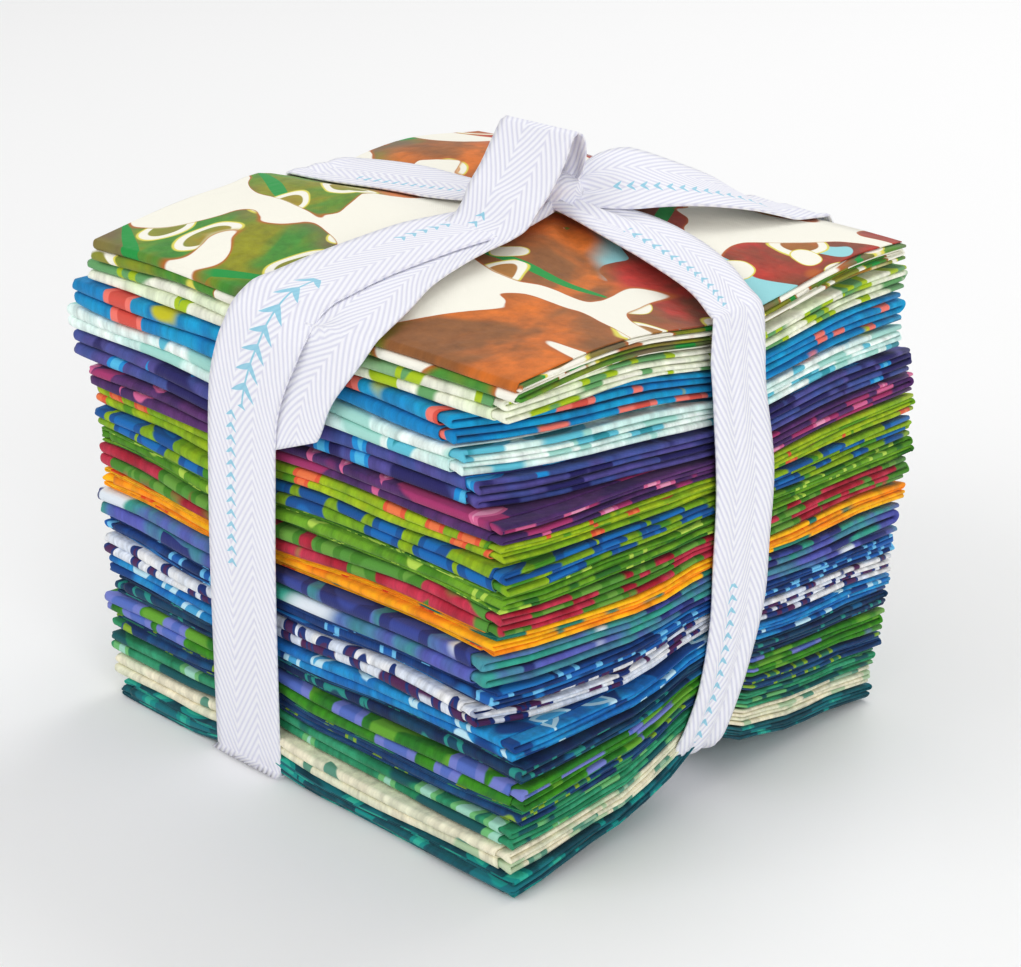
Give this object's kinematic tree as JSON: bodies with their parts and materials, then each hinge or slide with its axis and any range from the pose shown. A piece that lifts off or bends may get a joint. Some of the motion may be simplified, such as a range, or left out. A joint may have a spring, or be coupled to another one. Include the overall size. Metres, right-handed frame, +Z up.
{
  "type": "fat quarter bundle",
  "caption": "Stack of folded batik cotton fat quarters, tied crosswise with a white twill ribbon that is knotted on top; it rests flat.",
  "frame": {"origin": "centre of the bundle's bounding box, on the surface that it rests on", "axes": "+X along the front folds, +Y towards the back, +Z up through the stack"},
  "size_m": [0.1692, 0.1542, 0.1579],
  "materials": {
    "cotton_01": "matte woven cotton, batik dyed",
    "cotton_02": "matte woven cotton, batik dyed",
    "cotton_03": "matte woven cotton, batik dyed",
    "cotton_04": "matte woven cotton, batik dyed",
    "cotton_05": "matte woven cotton, batik dyed",
    "cotton_06": "matte woven cotton, batik dyed",
    "cotton_07": "matte woven cotton, batik dyed",
    "cotton_08": "matte woven cotton, batik dyed",
    "cotton_09": "matte woven cotton, batik dyed",
    "cotton_10": "matte woven cotton, batik dyed",
    "cotton_11": "matte woven cotton, batik dyed",
    "cotton_12": "matte woven cotton, batik dyed",
    "cotton_13": "matte woven cotton, batik dyed",
    "cotton_14": "matte woven cotton, batik dyed",
    "cotton_15": "matte woven cotton, batik dyed",
    "cotton_16": "matte woven cotton, batik dyed",
    "cotton_17": "matte woven cotton, batik dyed",
    "cotton_18": "matte woven cotton, batik dyed",
    "cotton_19": "matte woven cotton, batik dyed",
    "cotton_20": "matte woven cotton, batik dyed",
    "cotton_21": "matte woven cotton, batik dyed",
    "twill_ribbon": "white herringbone twill"
  },
  "bodies": {
    "root": {"fat_quarter_01": "cotton_01", "fat_quarter_02": "cotton_02", "fat_quarter_03": "cotton_03", "fat_quarter_04": "cotton_04", "fat_quarter_05": "cotton_05", "fat_quarter_06": "cotton_06", "fat_quarter_07": "cotton_07", "fat_quarter_08": "cotton_08", "fat_quarter_09": "cotton_09", "fat_quarter_10": "cotton_10", "fat_quarter_11": "cotton_11", "fat_quarter_12": "cotton_12", "fat_quarter_13": "cotton_13", "fat_quarter_14": "cotton_14", "fat_quarter_15": "cotton_15", "fat_quarter_16": "cotton_16", "fat_quarter_17": "cotton_17", "fat_quarter_18": "cotton_18", "fat_quarter_19": "cotton_19", "fat_quarter_20": "cotton_20", "fat_quarter_21": "cotton_21", "ribbon": "twill_ribbon"}
  },
  "joints": []
}
